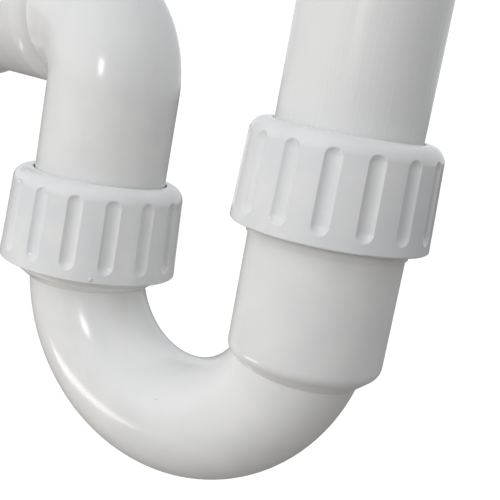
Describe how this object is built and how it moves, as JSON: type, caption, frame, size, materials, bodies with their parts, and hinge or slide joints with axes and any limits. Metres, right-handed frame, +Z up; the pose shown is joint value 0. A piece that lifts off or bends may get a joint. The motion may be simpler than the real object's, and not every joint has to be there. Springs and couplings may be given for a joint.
{
  "type": "p trap",
  "caption": "Swivel P-trap in white tubular plastic, with a telescopic inlet, a U-bend and an elbow joined by fluted compression nuts.",
  "frame": {"origin": "centre of the waste nut's mouth, on the inlet axis", "axes": "+Z up, out of the waste nut's mouth; the U-bend lies in the XZ plane with its outlet leg on the -X side"},
  "size_m": [0.2192, 0.082, 0.1874],
  "materials": {
    "white_polypropylene": "moulded, glossy",
    "natural_polyethylene": "natural, satin",
    "black_rubber": "moulded, matt"
  },
  "bodies": {
    "inlet": {"inlet_tube": "white_polypropylene", "waste_washer": "black_rubber"},
    "waste_nut": {"waste_nut": "white_polypropylene"},
    "inlet_seal": {"inlet_cone_washer": "black_rubber"},
    "bend": {"trap_bend": "white_polypropylene"},
    "inlet_ring": {"inlet_slip_ring": "natural_polyethylene"},
    "inlet_nut": {"inlet_nut": "white_polypropylene"},
    "outlet_seal": {"outlet_cone_washer": "black_rubber"},
    "elbow": {"outlet_elbow": "white_polypropylene", "pipe_cone_washer": "black_rubber"},
    "outlet_ring": {"outlet_slip_ring": "natural_polyethylene"},
    "outlet_nut": {"outlet_nut": "white_polypropylene"},
    "pipe_ring": {"pipe_slip_ring": "natural_polyethylene"},
    "pipe_nut": {"pipe_nut": "white_polypropylene"}
  },
  "joints": [
    {"name": "waste_nut_turn", "type": "hinge", "parent": "inlet", "child": "waste_nut", "pos_m": [0, 0, 0], "axis": [0, 0, 1], "continuous": true},
    {"name": "height_adjust", "type": "slide", "parent": "inlet", "child": "inlet_seal", "axis": [0, 0, 1], "range_m": [-0.012, 0.02]},
    {"name": "bend_swivel", "type": "hinge", "parent": "inlet_seal", "child": "bend", "pos_m": [0, 0, -0.13], "axis": [0, 0, 1], "continuous": true},
    {"name": "inlet_nut_lift", "type": "slide", "parent": "bend", "child": "inlet_ring", "axis": [0, 0, 1], "range_m": [0, 0.01226]},
    {"name": "inlet_nut_turn", "type": "hinge", "parent": "inlet_ring", "child": "inlet_nut", "pos_m": [0, 0, -0.13], "axis": [0, 0, 1], "range_deg": [0, 1260]},
    {"name": "elbow_swivel", "type": "hinge", "parent": "bend", "child": "outlet_seal", "pos_m": [-0.0792, 0, -0.13], "axis": [0, 0, 1], "range_deg": [-113.9, 146.1]},
    {"name": "elbow_height", "type": "slide", "parent": "outlet_seal", "child": "elbow", "axis": [0, 0, 1], "range_m": [0, 0.007]},
    {"name": "outlet_nut_lift", "type": "slide", "parent": "bend", "child": "outlet_ring", "axis": [0, 0, 1], "range_m": [0, 0.01226]},
    {"name": "outlet_nut_turn", "type": "hinge", "parent": "outlet_ring", "child": "outlet_nut", "pos_m": [-0.0792, 0, -0.13], "axis": [0, 0, 1], "range_deg": [0, 1260]},
    {"name": "pipe_nut_travel", "type": "slide", "parent": "elbow", "child": "pipe_ring", "axis": [-0.9608, 0.2773, 0], "range_m": [0, 0.01226]},
    {"name": "pipe_nut_turn", "type": "hinge", "parent": "pipe_ring", "child": "pipe_nut", "pos_m": [-0.15894, 0.02302, -0.05845], "axis": [-0.9608, 0.2773, 0], "range_deg": [0, 1260]}
  ],
  "couplings": [
    {"joint": "inlet_nut_lift", "follows": "inlet_nut_turn", "m_per_rad": 0.00055704},
    {"joint": "outlet_nut_lift", "follows": "outlet_nut_turn", "m_per_rad": 0.00055704},
    {"joint": "pipe_nut_travel", "follows": "pipe_nut_turn", "m_per_rad": 0.00055704}
  ]
}
